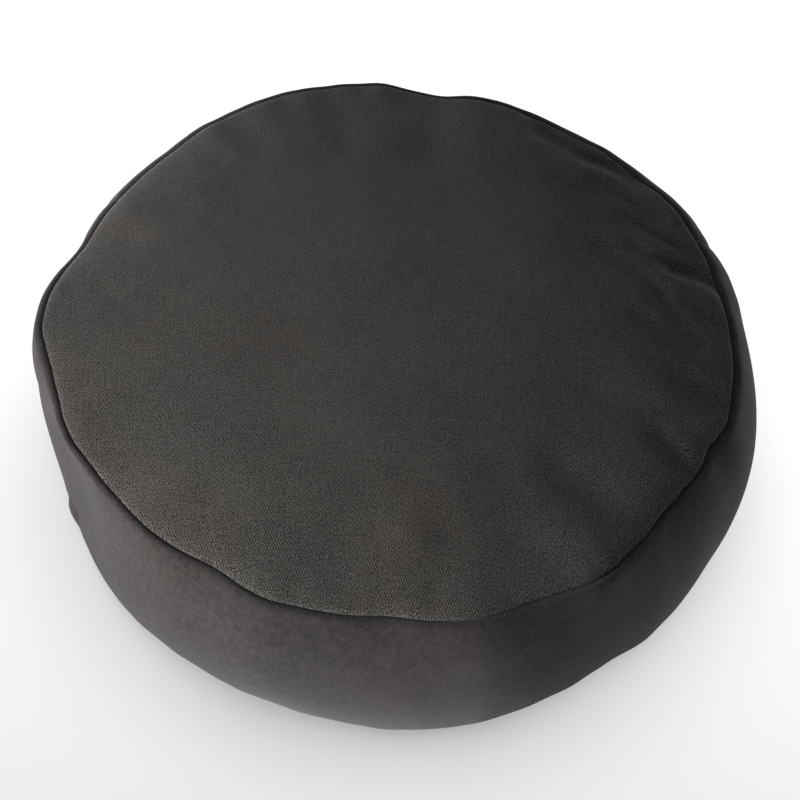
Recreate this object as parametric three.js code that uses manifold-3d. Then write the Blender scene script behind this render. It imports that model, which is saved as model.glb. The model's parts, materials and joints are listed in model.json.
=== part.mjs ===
// Round floor cushion: a removable canvas cover with a zip, round a lined and padded foam core.
//
// Millimetres, +Z up. The origin is the centre of the underside, on the floor. -Y is the front, and the
// zip is in the side band at the back, +Y. Angles round the cushion are in radians from the front,
// anticlockwise from above, so that PI is the back.
//
// The cloth layers lie inside one another. A layer is placed by its inset: how far it lies inside the
// cover's outer face, measured square to that face.

import * as THREE from "three";
import { mergeVertices } from "three/addons/utils/BufferGeometryUtils.js";
import Module from "manifold-3d";

const wasm = await Module();
wasm.setup();

// ---- Driving dimensions ------------------------------------------------------------------------------

const cushionDiameter = 400; // across the top panel, seam to seam
const bandHeight = 100; // side band, from the bottom seam to the top seam
const bandBulge = 12; // how far the side band swells past its seams at mid height

const topDomeRise = 13; // rise of the top panel from its shoulder to its centre
const topRollWidth = 20; // the rolled edge, from the shoulder out to the seam
const topRollDrop = 10.5; // the rolled edge, from the shoulder down to the seam
const bottomRollWidth = 14; // the underside is flat, and its edge rolls up to the seam
const bottomRollDrop = 6;

const canvas = 1; // thickness of the cover's cloth
const seamAllowance = 12; // cloth turned in at the top and bottom seams
const joinAllowance = 10; // cloth turned in where the front band meets the zip band
const hemWidth = 10; // cloth turned under beside the zip
const gap = 0.4; // between one layer and the next
const joinGap = 0.6; // between the ends of the bands, where they are sewn together

const zipLength = 420; // the coil, along the side band
const zipEndMargin = 14; // from each end of the coil to the end of the zip band
const zipSlot = 12; // the coil shows between the two hems
const chainWidth = 6; // both coils, closed
const chainGap = 1.2; // between the two coils, where the slider's post runs
const tapeWidth = 15;
const tapeThickness = 0.6;
const stopLength = 3; // metal stops at the ends of the coils

const sliderLength = 14;
const sliderWideEnd = 9.6; // the end where the two coils go in
const sliderNarrowEnd = 9;
const sliderPlate = 1.2; // thickness of the slider's plates
const sliderPost = 0.5; // thickness of the post that parts the coils
const sliderRun = 0.6; // running clearance of the slider
const bridgeLength = 8; // the arch that holds the pull
const bridgeWidth = 2.4;
const bridgeRise = 2.8;
const bridgeBar = 1.2; // thickness of the arch
const pullBar = 1.1; // thickness of the pull, and diameter of its crossbar
const pullWidth = 7;
const pullLength = 27; // from the crossbar's axis to the tip
const pullWindow = 5; // from the crossbar's axis to the end of the window
const pullArm = 1.2; // width of the arms beside the window

const thread = 0.5; // thickness of the sewing thread
const seamThreadDepth = 1.5; // from the seam's fold to the line of stitches
const topstitchInset = 3; // from the hem's edge to the line of stitches

const coverEase = 6; // from the cover's face to the liner, for the seams and the slider
const liner = 0.6; // thickness of the liner's cloth
const linerLip = 8; // cloth turned in at the liner's seams
const linerSeamGap = 1.2; // the liner's turned seams are straighter than its band
const wadding = 10; // thickness of the wadding

const rollSteps = 3; // facets across a panel's rolled edge
const domeSteps = 3; // facets from a panel's centre to its rolled edge
const ringSteps = 48; // facets round the cover's panels
const innerRingSteps = 30; // facets round the inner layers
const facet = THREE.MathUtils.degToRad(6); // facets round the front band
const fineFacet = THREE.MathUtils.degToRad(5); // facets round the zip, which the slider runs on

// ---- Shape of the outside ----------------------------------------------------------------------------

const seamRadius = cushionDiameter / 2;
const midRadius = seamRadius + bandBulge;
const bottomSeamZ = bottomRollDrop;
const topSeamZ = bottomSeamZ + bandHeight;
const midZ = (bottomSeamZ + topSeamZ) / 2;

// The side band's section is an arc through both seams.
const sideArcRadius = ((bandHeight / 2) ** 2 + bandBulge ** 2) / (2 * bandBulge);
const sideArcCentre = midRadius - sideArcRadius;
const sideRadius = (z, inset) =>
  sideArcCentre + Math.sqrt((sideArcRadius - inset) ** 2 - (z - midZ) ** 2);

// At a seam the band is turned in on itself, and the panel's lip lies inside that.
const foldInset = 2 * canvas + gap;
const lipInset = foldInset + gap;
const panelRadius = seamRadius - lipInset;

// A panel's outline: a dome, or a flat, out to its shoulder, then a rolled edge down to its seam.
function panelShape(seamZ, side, domeRise, rollWidth, rollDrop) {
  const shoulderRadius = panelRadius - rollWidth;
  const shoulderZ = seamZ + side * rollDrop;
  const domeRadius = domeRise > 0 ? (shoulderRadius ** 2 + domeRise ** 2) / (2 * domeRise) : Infinity;
  const shoulderAngle = Math.asin(shoulderRadius / domeRadius);
  const edgeAngle = 2 * Math.atan2(rollDrop, rollWidth) - shoulderAngle;
  const rollRadius = Math.hypot(rollWidth, rollDrop) / (2 * Math.sin((edgeAngle - shoulderAngle) / 2));
  return {
    seamZ,
    side,
    domeRise,
    shoulderRadius,
    shoulderZ,
    domeRadius,
    shoulderAngle,
    edgeAngle,
    rollRadius,
    rollCentre: shoulderRadius - rollRadius * Math.sin(shoulderAngle),
    rollCentreZ: shoulderZ - side * rollRadius * Math.cos(shoulderAngle),
  };
}

const top = panelShape(topSeamZ, 1, topDomeRise, topRollWidth, topRollDrop);
const bottom = panelShape(bottomSeamZ, -1, 0, bottomRollWidth, bottomRollDrop);

// Points [radius, z] of a panel's layer, from the axis out to a radius: the dome, then the rolled edge.
function panelLine(shape, inset, endRadius) {
  const { side, domeRise, shoulderZ } = shape;
  const domeRadius = shape.domeRadius - inset;
  const domeCentreZ = shoulderZ + side * (domeRise - shape.domeRadius);
  const rollRadius = shape.rollRadius - inset;
  const shoulderRadius = shape.rollCentre + rollRadius * Math.sin(shape.shoulderAngle);
  const domeEnd = Math.min(shoulderRadius, endRadius);
  const steps = domeRise > 0 ? domeSteps : 1;
  const points = [];
  for (let i = 0; i <= steps; i++) {
    const radius = (domeEnd * i) / steps;
    const domeZ = domeCentreZ + side * Math.sqrt(domeRadius ** 2 - radius ** 2);
    points.push([radius, domeRise > 0 ? domeZ : shoulderZ - side * inset]);
  }
  if (endRadius > shoulderRadius) {
    const reach = Math.min((endRadius - shape.rollCentre) / rollRadius, Math.sin(shape.edgeAngle));
    for (let i = 1; i <= rollSteps; i++) {
      const turn = (Math.asin(reach) - shape.shoulderAngle) / rollSteps;
      const angle = shape.shoulderAngle + turn * i;
      const radius = shape.rollCentre + rollRadius * Math.sin(angle);
      points.push([radius, shape.rollCentreZ + side * rollRadius * Math.cos(angle)]);
    }
  }
  return points;
}

// Points [radius, z] along the side, on a layer at an inset.
function sideLine(inset, fromZ, toZ, steps) {
  return Array.from({ length: steps + 1 }, (_, i) => {
    const z = fromZ + ((toZ - fromZ) * i) / steps;
    return [sideRadius(z, inset), z];
  });
}

// ---- Solids ------------------------------------------------------------------------------------------

// A closed outline [radius, z], turned about the Z axis. A part turn gets a flat face at each end.
function turned(outline, steps, from = 0, sweep = 2 * Math.PI) {
  const points = outline.map(([radius, z]) => new THREE.Vector2(radius, z));
  if (THREE.ShapeUtils.isClockWise(points)) points.reverse();
  const count = points.length;
  const rings = sweep < 2 * Math.PI ? steps + 1 : steps;

  const positions = [];
  for (let ring = 0; ring < rings; ring++) {
    const angle = from + (sweep * ring) / steps;
    for (const { x, y } of points) positions.push(x * Math.sin(angle), -x * Math.cos(angle), y);
  }

  const faces = [];
  for (let step = 0; step < steps; step++) {
    const here = step * count;
    const next = ((step + 1) % rings) * count;
    for (let i = 0; i < count; i++) {
      const j = (i + 1) % count;
      if (points[i].x > 0) faces.push(here + i, next + i, here + j);
      if (points[j].x > 0) faces.push(next + j, here + j, next + i);
    }
  }
  if (rings > steps) {
    const last = steps * count;
    for (const [i, j, k] of THREE.ShapeUtils.triangulateShape(points, [])) {
      faces.push(i, j, k, last + k, last + j, last + i);
    }
  }

  const geometry = new THREE.BufferGeometry();
  geometry.setAttribute("position", new THREE.Float32BufferAttribute(positions, 3));
  geometry.setIndex(faces);
  return mergeVertices(geometry, 1e-4);
}

const stepsFor = (sweep, step) => Math.ceil(sweep / step);

function toSolid(geometry) {
  const bare = geometry.clone();
  bare.deleteAttribute("normal");
  bare.deleteAttribute("uv");
  const merged = mergeVertices(bare, 1e-4);
  return new wasm.Manifold(
    new wasm.Mesh({
      numProp: 3,
      vertProperties: merged.attributes.position.array,
      triVerts: new Uint32Array(merged.index.array),
    }),
  );
}

function toGeometry(solid) {
  const mesh = solid.getMesh();
  const geometry = new THREE.BufferGeometry();
  geometry.setAttribute("position", new THREE.BufferAttribute(mesh.vertProperties, 3));
  geometry.setIndex(new THREE.BufferAttribute(mesh.triVerts, 1));
  return geometry;
}

const joined = (...geometries) =>
  toGeometry(geometries.map(toSolid).reduce((whole, solid) => whole.add(solid)));

const cutFrom = (geometry, ...holes) =>
  toGeometry(holes.map(toSolid).reduce((whole, hole) => whole.subtract(hole), toSolid(geometry)));

// ---- Materials ---------------------------------------------------------------------------------------

const cloth = (color, roughness) => new THREE.MeshStandardMaterial({ color, roughness, metalness: 0 });
const canvasCloth = cloth(0x43413f, 0.95);
const threadFinish = cloth(0x353332, 0.8);
const tapeCloth = cloth(0x2b2a2a, 0.9);
const coilPlastic = new THREE.MeshStandardMaterial({ color: 0x252525, roughness: 0.45, metalness: 0 });
const zipMetal = new THREE.MeshStandardMaterial({ color: 0x3b3b3d, roughness: 0.35, metalness: 0.9 });
const linerCloth = cloth(0xe3ded2, 0.9);
const waddingFibre = cloth(0xf2f2ef, 1);
const foam = cloth(0xe8e0bd, 0.95);

const cushion = new THREE.Group();

function add(group, name, geometry, material) {
  const mesh = new THREE.Mesh(geometry, material);
  mesh.name = name;
  group.add(mesh);
  return mesh;
}

// ---- Cover: top and bottom panels, each with its edge turned in as a lip ------------------------------

function coverPanel(shape) {
  const face = panelLine(shape, 0, panelRadius);
  const back = panelLine(shape, canvas, panelRadius);
  const lipEndZ = shape.seamZ - shape.side * seamAllowance;
  const lipOuter = [sideRadius(lipEndZ, lipInset), lipEndZ];
  const lipInner = [sideRadius(lipEndZ, lipInset + canvas), lipEndZ];
  const turnInner = [panelRadius - canvas, shape.seamZ - shape.side * canvas];
  return turned([...face, lipOuter, lipInner, turnInner, ...back.slice(0, -1).reverse()], ringSteps);
}

add(cushion, "top_panel", coverPanel(top), canvasCloth);
add(cushion, "bottom_panel", coverPanel(bottom), canvasCloth);

// ---- Cover: side bands -------------------------------------------------------------------------------

// The zip band is the back of the side, in two strips with the zip between them.
const zipBandAngle = (zipLength + 2 * zipEndMargin) / midRadius;
const zipBandFrom = Math.PI - zipBandAngle / 2;
const frontBandFrom = zipBandFrom + zipBandAngle;
const endGap = joinGap / midRadius;

// Where a band is sewn to a panel its edge is turned in: points from the face, round the fold and the
// end of the turned cloth, to the band's back.
function seamTurn(seamZ, side) {
  const endZ = seamZ - side * seamAllowance;
  return [
    [sideRadius(seamZ, 0), seamZ],
    [sideRadius(seamZ, 0) - foldInset, seamZ],
    [sideRadius(endZ, foldInset), endZ],
    [sideRadius(endZ, canvas + gap), endZ],
    [sideRadius(seamZ, 0) - canvas - gap, seamZ - side * canvas],
    [sideRadius(seamZ, 0) - canvas, seamZ - side * canvas],
  ];
}

// Beside the zip the band's edge is turned under.
function hemTurn(edgeZ, side) {
  const endZ = edgeZ + side * hemWidth;
  return [
    [sideRadius(edgeZ, 0), edgeZ],
    [sideRadius(edgeZ, foldInset), edgeZ],
    [sideRadius(endZ, foldInset), endZ],
    [sideRadius(endZ, canvas + gap), endZ],
    [sideRadius(edgeZ, canvas + gap), edgeZ + side * canvas],
    [sideRadius(edgeZ, canvas), edgeZ + side * canvas],
  ];
}

// The end of a band, turned in and lying flat behind it. It joins the band through half its thickness.
function endTurn(lowZ, highZ, edge, way) {
  const strip = (outer, inner, width) => {
    const sweep = width / midRadius;
    const outline = [...sideLine(outer, lowZ, highZ, 3), ...sideLine(inner, lowZ, highZ, 3).reverse()];
    return turned(outline, stepsFor(sweep, facet), way > 0 ? edge : edge - sweep, sweep);
  };
  return [strip(canvas / 2, foldInset, canvas), strip(canvas + gap, foldInset, joinAllowance)];
}

function band(outline, from, sweep, step, turnLowZ, turnHighZ) {
  const start = from + endGap / 2;
  const length = sweep - endGap;
  return joined(
    turned(outline, stepsFor(length, step), start, length),
    ...endTurn(turnLowZ, turnHighZ, start, 1),
    ...endTurn(turnLowZ, turnHighZ, start + length, -1),
  );
}

const clearOfTurns = 1; // between the end turns and the turned edges above and below them
const bottomTurnZ = bottomSeamZ + seamAllowance + clearOfTurns;
const topTurnZ = topSeamZ - seamAllowance - clearOfTurns;

function frontBand() {
  const steps = 5;
  const face = sideLine(0, bottomSeamZ, topSeamZ, steps).slice(1, -1);
  const back = sideLine(canvas, bottomSeamZ, topSeamZ, steps).slice(1, -1).reverse();
  const outline = [...face, ...seamTurn(topSeamZ, 1), ...back, ...seamTurn(bottomSeamZ, -1).reverse()];
  return band(outline, frontBandFrom, 2 * Math.PI - zipBandAngle, facet, bottomTurnZ, topTurnZ);
}

// One strip of the zip band, above the zip (side 1) or below it (side -1).
function zipStrip(seamZ, side) {
  const steps = 3;
  const edgeZ = midZ + (side * zipSlot) / 2;
  const face = sideLine(0, edgeZ, seamZ, steps).slice(1, -1);
  const back = sideLine(canvas, edgeZ, seamZ, steps).slice(1, -1).reverse();
  const outline = [...face, ...seamTurn(seamZ, side), ...back, ...hemTurn(edgeZ, side).reverse()];
  const hemEndZ = edgeZ + side * (hemWidth + clearOfTurns);
  const turnEndZ = side > 0 ? topTurnZ : bottomTurnZ;
  return band(
    outline, zipBandFrom, zipBandAngle, fineFacet, Math.min(hemEndZ, turnEndZ), Math.max(hemEndZ, turnEndZ),
  );
}

add(cushion, "side_band_front", frontBand(), canvasCloth);
add(cushion, "side_band_back_upper", zipStrip(topSeamZ, 1), canvasCloth);
add(cushion, "side_band_back_lower", zipStrip(bottomSeamZ, -1), canvasCloth);

// ---- Threads -----------------------------------------------------------------------------------------

// A thread that runs round the cushion, with its outer side at an inset or a little further in.
function threadAt(inset, z, steps, from, sweep) {
  const radius = Math.min(sideRadius(z, inset), sideRadius(z + thread, inset));
  const corners = [[radius, z], [radius, z + thread], [radius - thread, z + thread], [radius - thread, z]];
  return turned(corners, steps, from, sweep);
}

// The panels' seams are stitched through the turned edges, on the inside of the panel's lip.
const seamThreadInset = lipInset + canvas + gap;
const topThreadZ = topSeamZ - seamThreadDepth - thread;
const bottomThreadZ = bottomSeamZ + seamThreadDepth;
add(cushion, "top_seam_thread", threadAt(seamThreadInset, topThreadZ, ringSteps), threadFinish);
add(cushion, "bottom_seam_thread", threadAt(seamThreadInset, bottomThreadZ, ringSteps), threadFinish);

// The upright joins between the front band and the zip band are stitched on the inside, over the tapes.
const tapeInset = foldInset + gap;
const joinThreadInset = tapeInset + tapeThickness + gap;
function joinThread(angle) {
  const lowZ = bottomTurnZ;
  const outline = [
    ...sideLine(joinThreadInset, lowZ, topTurnZ, 4),
    ...sideLine(joinThreadInset + thread, lowZ, topTurnZ, 4).reverse(),
  ];
  return turned(outline, 1, angle - thread / midRadius / 2, thread / midRadius);
}
add(cushion, "join_thread_right", joinThread(zipBandFrom), threadFinish);
add(cushion, "join_thread_left", joinThread(frontBandFrom), threadFinish);

// The hems are stitched down to the zip's tapes, and these stitches show.
const zipSteps = stepsFor(zipBandAngle, fineFacet);
const zipBandEnds = [zipBandFrom + endGap, zipBandAngle - 2 * endGap];
const topstitchZ = zipSlot / 2 + topstitchInset;
const topstitchOutset = -(gap + thread);
const upperTopstitch = threadAt(topstitchOutset, midZ + topstitchZ, zipSteps, ...zipBandEnds);
const lowerTopstitch = threadAt(topstitchOutset, midZ - topstitchZ - thread, zipSteps, ...zipBandEnds);
add(cushion, "zip_topstitch_upper", upperTopstitch, threadFinish);
add(cushion, "zip_topstitch_lower", lowerTopstitch, threadFinish);

// ---- Zip ---------------------------------------------------------------------------------------------

const zipFrom = zipBandFrom + zipEndMargin / midRadius;
const zipAngle = zipLength / midRadius;

// A strip beside the middle of the zip, above it (side 1) or below it (side -1).
function zipPiece(outerInset, innerInset, width, side, from, sweep) {
  const nearZ = midZ + (side * chainGap) / 2;
  const farZ = nearZ + side * width;
  const steps = width > chainWidth ? 2 : 1;
  const outer = sideLine(outerInset, nearZ, farZ, steps);
  const inner = sideLine(innerInset, nearZ, farZ, steps);
  return turned([...outer, ...inner.reverse()], stepsFor(sweep, fineFacet), from, sweep);
}

const coilWidth = (chainWidth - chainGap) / 2;
for (const [name, side] of [["upper", 1], ["lower", -1]]) {
  const tape = zipPiece(tapeInset, tapeInset + tapeThickness, tapeWidth, side, ...zipBandEnds);
  const coil = zipPiece(0, foldInset, coilWidth, side, zipFrom, zipAngle);
  add(cushion, `zip_tape_${name}`, tape, tapeCloth);
  add(cushion, `zip_coil_${name}`, coil, coilPlastic);
}

// A clip on each tape stops the slider when the zip is closed, and one across both when it is open.
const stopAngle = stopLength / midRadius;
const stopGap = gap / midRadius;
for (const [name, side] of [["upper", 1], ["lower", -1]]) {
  const clip = zipPiece(0, foldInset, coilWidth, side, zipFrom - stopGap - stopAngle, stopAngle);
  add(cushion, `zip_top_stop_${name}`, clip, zipMetal);
}
const bottomStopOutline = [
  [sideRadius(midZ, 0), midZ - chainWidth / 2],
  [sideRadius(midZ, 0), midZ + chainWidth / 2],
  [sideRadius(midZ, foldInset), midZ + chainWidth / 2],
  [sideRadius(midZ, foldInset), midZ - chainWidth / 2],
];
const bottomStop = turned(bottomStopOutline, 1, zipFrom + zipAngle + stopGap, stopAngle);
add(cushion, "zip_bottom_stop", bottomStop, zipMetal);

// ---- Slider and pull ---------------------------------------------------------------------------------
// In the slider's own frame +X is the way it runs to close the zip, +Y points out of the cushion with 0
// at the cover's face, and +Z is up with 0 at the middle of the zip.

const sliderAngle = zipFrom + (sliderLength / 2 + gap) / midRadius;
const slider = new THREE.Group();
slider.rotation.z = sliderAngle + Math.PI;
slider.position.set(midRadius * Math.sin(sliderAngle), -midRadius * Math.cos(sliderAngle), midZ);
cushion.add(slider);

const block = (x0, x1, y0, y1, z0, z1) =>
  new THREE.BoxGeometry(x1 - x0, y1 - y0, z1 - z0).translate((x0 + x1) / 2, (y0 + y1) / 2, (z0 + z1) / 2);

// An outline [x, y] given a depth in Z, centred on 0.
function slab(outline, depth) {
  const shape = new THREE.Shape(outline.map(([x, y]) => new THREE.Vector2(x, y)));
  return new THREE.ExtrudeGeometry(shape, { depth, bevelEnabled: false }).translate(0, 0, -depth / 2);
}

// An outline [x, z] between two heights in Y.
const plate = (outline, y0, y1) =>
  slab(outline, y1 - y0).rotateX(Math.PI / 2).translate(0, (y0 + y1) / 2, 0);

const outerPlateY = sliderRun;
const outerPlateTop = outerPlateY + sliderPlate;
const innerPlateY = -(tapeInset + tapeThickness + sliderRun);
const bridgeTop = outerPlateTop + bridgeRise;

function sliderBody() {
  const half = sliderLength / 2;
  const wide = sliderWideEnd / 2;
  const narrow = sliderNarrowEnd / 2;
  const shoulder = half / 3;
  const outline = [
    [half, -wide + 1],
    [half, wide - 1],
    [half - 1, wide],
    [shoulder, wide],
    [-half, narrow],
    [-half, -narrow],
    [shoulder, -wide],
    [half - 1, -wide],
  ];
  const flangeNear = chainWidth / 2 + sliderRun;
  const flangeEndY = -foldInset + sliderRun;
  const flanges = [-1, 1].map((side) => {
    const [z0, z1] = [flangeNear, narrow].map((z) => side * z).sort((a, b) => a - b);
    return block(-half, half - 1, flangeEndY, outerPlateY + sliderPlate / 2, z0, z1);
  });
  const postEnd = half - 0.8;
  const postTop = outerPlateY + sliderPlate / 2;
  const postFoot = innerPlateY - sliderPlate / 2;
  const post = block(postEnd - 3, postEnd, postFoot, postTop, -sliderPost / 2, sliderPost / 2);
  const foot = bridgeLength / 2;
  const crown = foot - 1;
  const footY = outerPlateTop - 0.2;
  const arch = slab(
    [
      [-foot, footY],
      [bridgeBar - foot, footY],
      [bridgeBar - crown, bridgeTop - bridgeBar],
      [crown - bridgeBar, bridgeTop - bridgeBar],
      [foot - bridgeBar, footY],
      [foot, footY],
      [crown, bridgeTop],
      [-crown, bridgeTop],
    ],
    bridgeWidth,
  );
  return joined(
    plate(outline, outerPlateY, outerPlateTop),
    plate(outline, innerPlateY - sliderPlate, innerPlateY),
    ...flanges,
    post,
    arch,
  );
}
add(slider, "zip_slider", sliderBody(), zipMetal);

// The pull's crossbar lies in the arch, its arms pass on either side of it, and it hangs back over the
// closed zip. It is drawn along +X and turned round at the end.
const pullAxisY = outerPlateTop + (bridgeRise - bridgeBar) / 2;
function pullTab() {
  const halfWidth = pullWidth / 2;
  const armInner = bridgeWidth / 2 + sliderRun;
  const armOuter = armInner + pullArm;
  const outline = new THREE.Shape();
  outline.moveTo(0, -armOuter);
  outline.lineTo(pullWindow, -armOuter);
  outline.lineTo(pullWindow + 2, -halfWidth);
  outline.absarc(pullLength - halfWidth, 0, halfWidth, -Math.PI / 2, Math.PI / 2, false);
  outline.lineTo(pullWindow + 2, halfWidth);
  outline.lineTo(pullWindow, armOuter);
  outline.lineTo(0, armOuter);
  outline.closePath();
  const eye = new THREE.Path();
  eye.absarc(pullLength - halfWidth, 0, halfWidth / 2, 0, 2 * Math.PI, true);
  outline.holes = [eye];
  const tab = new THREE.ExtrudeGeometry(outline, { depth: pullBar, bevelEnabled: false, curveSegments: 8 })
    .translate(0, 0, -pullBar / 2)
    .rotateX(Math.PI / 2);
  const window = block(-1, pullWindow, -pullBar, pullBar, -armInner, armInner);
  const crossbar = new THREE.CylinderGeometry(pullBar / 2, pullBar / 2, 2 * armOuter, 12);
  crossbar.rotateX(Math.PI / 2);
  return joined(cutFrom(tab, window), crossbar).rotateZ(Math.PI);
}
add(slider, "zip_pull", pullTab(), zipMetal).position.y = pullAxisY;

// ---- Liner: the inner cushion's own case -------------------------------------------------------------

const linerTopInset = canvas + 2 * gap;
const linerLipInset = coverEase + liner + linerSeamGap;

function linerPanel(shape) {
  const lipRadius = sideRadius(shape.seamZ, linerLipInset);
  const lipEndZ = shape.seamZ - shape.side * linerLip;
  const face = panelLine(shape, linerTopInset, lipRadius);
  const back = panelLine(shape, linerTopInset + liner, lipRadius - liner);
  const lipOuter = [sideRadius(lipEndZ, linerLipInset), lipEndZ];
  const lipInner = [sideRadius(lipEndZ, linerLipInset + liner), lipEndZ];
  return turned([...face, lipOuter, lipInner, ...back.reverse()], innerRingSteps);
}
add(cushion, "liner_top_panel", linerPanel(top), linerCloth);
add(cushion, "liner_bottom_panel", linerPanel(bottom), linerCloth);

const linerEdge = 0.5; // the liner's band stops this far short of the seams' height
const linerLowZ = bottomSeamZ + linerEdge;
const linerHighZ = topSeamZ - linerEdge;
const linerBandOutline = [
  ...sideLine(coverEase, linerLowZ, linerHighZ, 5),
  ...sideLine(coverEase + liner, linerLowZ, linerHighZ, 5).reverse(),
];
add(cushion, "liner_side_band", turned(linerBandOutline, innerRingSteps), linerCloth);

const linerThreadInset = linerLipInset + liner + gap;
const linerTopThread = threadAt(linerThreadInset, topThreadZ, innerRingSteps);
const linerBottomThread = threadAt(linerThreadInset, bottomThreadZ, innerRingSteps);
add(cushion, "liner_top_thread", linerTopThread, threadFinish);
add(cushion, "liner_bottom_thread", linerBottomThread, threadFinish);

// ---- Filling: wadding round a foam core --------------------------------------------------------------

const sheetInset = linerTopInset + liner + gap;
const sideWaddingInset = linerThreadInset + thread + gap;

// A sheet of wadding under a panel.
const sheetLine = (shape, inset) => panelLine(shape, inset, sideRadius(shape.seamZ, sideWaddingInset));
function waddingSheet(shape) {
  const face = sheetLine(shape, sheetInset);
  const back = sheetLine(shape, sheetInset + wadding);
  return turned([...face, ...back.reverse()], innerRingSteps);
}
add(cushion, "wadding_top_sheet", waddingSheet(top), waddingFibre);
add(cushion, "wadding_bottom_sheet", waddingSheet(bottom), waddingFibre);

// The side wadding fills the height between the two sheets' edges.
const sheetEndZ = (shape) => sheetLine(shape, sheetInset + wadding).at(-1)[1];
const sideWaddingLowZ = sheetEndZ(bottom) + gap;
const sideWaddingHighZ = sheetEndZ(top) - gap;
const sideWaddingLine = (inset) => sideLine(inset, sideWaddingLowZ, sideWaddingHighZ, 5);
const sideWaddingOutline = [
  ...sideWaddingLine(sideWaddingInset),
  ...sideWaddingLine(sideWaddingInset + wadding).reverse(),
];
add(cushion, "wadding_side_band", turned(sideWaddingOutline, innerRingSteps), waddingFibre);

// The foam core fills the shape that is left.
function foamCore() {
  const panelInset = sheetInset + wadding + gap;
  const sideInset = sideWaddingInset + wadding + gap;
  const upper = panelLine(top, panelInset, sideRadius(topSeamZ, sideInset));
  const lower = panelLine(bottom, panelInset, sideRadius(bottomSeamZ, sideInset));
  return turned([...lower, ...sideWaddingLine(sideInset), ...upper.reverse()], innerRingSteps);
}
add(cushion, "foam_core", foamCore(), foam);

export default cushion;
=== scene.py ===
import json
import math

import bpy
from mathutils import Matrix, Vector, noise

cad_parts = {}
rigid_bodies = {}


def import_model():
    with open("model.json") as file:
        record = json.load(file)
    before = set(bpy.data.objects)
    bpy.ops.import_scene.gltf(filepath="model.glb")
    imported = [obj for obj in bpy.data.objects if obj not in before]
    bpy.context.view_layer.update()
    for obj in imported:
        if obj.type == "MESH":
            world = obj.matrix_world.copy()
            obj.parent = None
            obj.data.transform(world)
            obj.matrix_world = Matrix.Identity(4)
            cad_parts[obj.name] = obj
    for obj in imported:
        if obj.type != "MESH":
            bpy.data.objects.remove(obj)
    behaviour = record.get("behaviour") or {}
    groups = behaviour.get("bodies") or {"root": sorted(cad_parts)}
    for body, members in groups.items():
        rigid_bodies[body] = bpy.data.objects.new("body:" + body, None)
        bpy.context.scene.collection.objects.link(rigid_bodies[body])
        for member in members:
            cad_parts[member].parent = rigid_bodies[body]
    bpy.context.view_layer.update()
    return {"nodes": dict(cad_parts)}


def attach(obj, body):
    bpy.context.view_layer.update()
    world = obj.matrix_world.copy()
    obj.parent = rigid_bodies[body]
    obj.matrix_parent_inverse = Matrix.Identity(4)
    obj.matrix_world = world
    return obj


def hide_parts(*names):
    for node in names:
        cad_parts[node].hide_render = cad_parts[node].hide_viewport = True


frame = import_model()


# ---- Cover skin ---------------------------------------------------------------------------------
# The cover is sewn from flat canvas panels and stuffed tight. It is drawn here as one skin, ring by
# ring from the top to the underside, with its seams as grooves. Then it is blown up as cloth, with
# the seams held, and the later sections cut their panels from it. All lengths are in metres.
def deselect():
    if bpy.context.mode != "OBJECT":
        bpy.ops.object.mode_set(mode="OBJECT")
    bpy.ops.object.select_all(action="DESELECT")


def pick(piece):
    deselect()
    piece.select_set(True)
    bpy.context.view_layer.objects.active = piece


def edit_verts(piece, wanted):
    """Opens a piece for editing, with the wanted points selected."""
    if bpy.context.mode != "OBJECT":
        bpy.ops.object.mode_set(mode="OBJECT")
    pick(piece)
    bpy.ops.object.mode_set(mode="EDIT")
    bpy.ops.mesh.select_mode(type="VERT")
    bpy.ops.mesh.select_all(action="DESELECT")
    bpy.ops.object.mode_set(mode="OBJECT")
    for vert in piece.data.vertices:
        vert.select = wanted(vert.co)
    bpy.ops.object.mode_set(mode="EDIT")


def round_from_front(co):
    """Degrees round the cushion from the front, anticlockwise from above, -180 to 180."""
    return math.degrees(math.atan2(co.x, -co.y))


MIDDLE = 0.056  # height of the zip, half way up the side
SIDE_CENTRE, SIDE_ARC = 0.10183, 0.11017  # centre and radius of the arc that is the side's section
SEAM_RADIUS = 0.1973
SEAM_GROOVE = 0.0016  # how deep the stitches draw a seam in
TOP_SEAM, LOW_SEAM = 0.1044, 0.0076  # heights of the two long seams
SEAM_REACH = 0.022  # how far from a seam the cloth still follows it
BAND_RADIUS = 0.212  # at the height of the zip
HEM_LOW, HEM_HIGH = 0.050, 0.062  # edges of the cloth beside the zip
ZIP_LENGTH, ZIP_SPARE = 0.420, 0.028  # the zip, and the rest of the strips that it is sewn between
JOIN = 180 - math.degrees((ZIP_LENGTH + ZIP_SPARE) / BAND_RADIUS / 2)  # from the front to each upright join
GRID_RADIUS = 0.118  # the middle of the top and of the underside is a square grid
DOME_EDGE, FLAT_EDGE = 0.177, 0.181  # where the top and the underside start to roll over
COLUMNS, DRAWN_JOIN = 240, 120  # columns of points, and the angle at which a join is first drawn
DOME_RADIUS, DOME_TOP = 1.214, 0.1288
NEAR = 0.0002  # how exact a place is, when points are chosen by place


def side_radius(z):
    return SIDE_CENTRE + math.sqrt(SIDE_ARC**2 - (z - MIDDLE) ** 2)


def dome_height(radius):
    return DOME_TOP - DOME_RADIUS + math.sqrt(DOME_RADIUS**2 - radius**2)


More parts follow.
